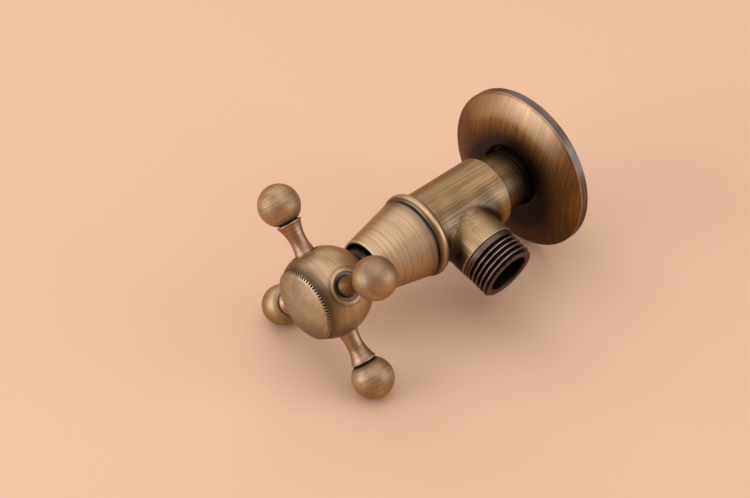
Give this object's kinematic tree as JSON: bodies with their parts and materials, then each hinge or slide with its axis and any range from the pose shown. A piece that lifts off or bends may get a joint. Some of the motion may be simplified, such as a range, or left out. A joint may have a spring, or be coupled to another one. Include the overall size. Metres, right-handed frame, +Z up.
{
  "type": "angle ball valve",
  "caption": "Antique brass angle stop valve: wall flange, side outlet, bell shroud and a cross handle whose quarter turn swings an L-port ball between shut and open.",
  "frame": {"origin": "on the inlet axis, where it meets the wall plane at the back of the flange", "axes": "+Y along the inlet axis into the wall, the handle faces -Y, +Z up as the valve lies on a table"},
  "size_m": [0.061, 0.1144, 0.0597],
  "materials": {
    "body_brass": "antique brass, brushed along the body",
    "flange_brass": "antique brass, brushed straight up and down",
    "shroud_brass": "antique brass, brushed round the cone",
    "hub_brass": "antique brass, lightly brushed",
    "cap_brass": "antique brass with a milled edge",
    "arm_brass": "antique brass, dark and smooth",
    "knob_brass": "antique brass, brushed round the ball",
    "raw_brass": "machined and untreated",
    "chromed_ball": "polished chrome plate",
    "ptfe": "white, waxy",
    "seal_rubber": "black, matt",
    "zinc_steel": "zinc plated"
  },
  "bodies": {
    "body": {"valve_body": "body_brass", "inlet_seat": "ptfe", "outlet_seat": "ptfe", "seat_retainer": "raw_brass", "thrust_washer": "ptfe", "bonnet": "raw_brass", "bonnet_seal": "seal_rubber", "stem_packing": "ptfe", "packing_nut": "raw_brass", "bell_shroud": "shroud_brass"},
    "handle": {"ball": "chromed_ball", "stem": "raw_brass", "stem_o_ring": "seal_rubber", "handle_hub": "hub_brass", "handle_arm_1": "arm_brass", "handle_arm_2": "arm_brass", "handle_arm_3": "arm_brass", "handle_arm_4": "arm_brass", "ball_knob_1": "knob_brass", "ball_knob_2": "knob_brass", "ball_knob_3": "knob_brass", "ball_knob_4": "knob_brass", "lock_washer": "zinc_steel", "handle_screw": "zinc_steel", "index_cap": "cap_brass"},
    "flange": {"wall_flange": "flange_brass"}
  },
  "joints": [
    {"name": "handle_turn", "type": "hinge", "parent": "body", "child": "handle", "pos_m": [0, -0.0925, 0], "axis": [0, -1, 0], "range_deg": [0, 90]},
    {"name": "flange_slide", "type": "slide", "parent": "body", "child": "flange", "axis": [0, -1, 0], "range_m": [0, 0.012]}
  ]
}
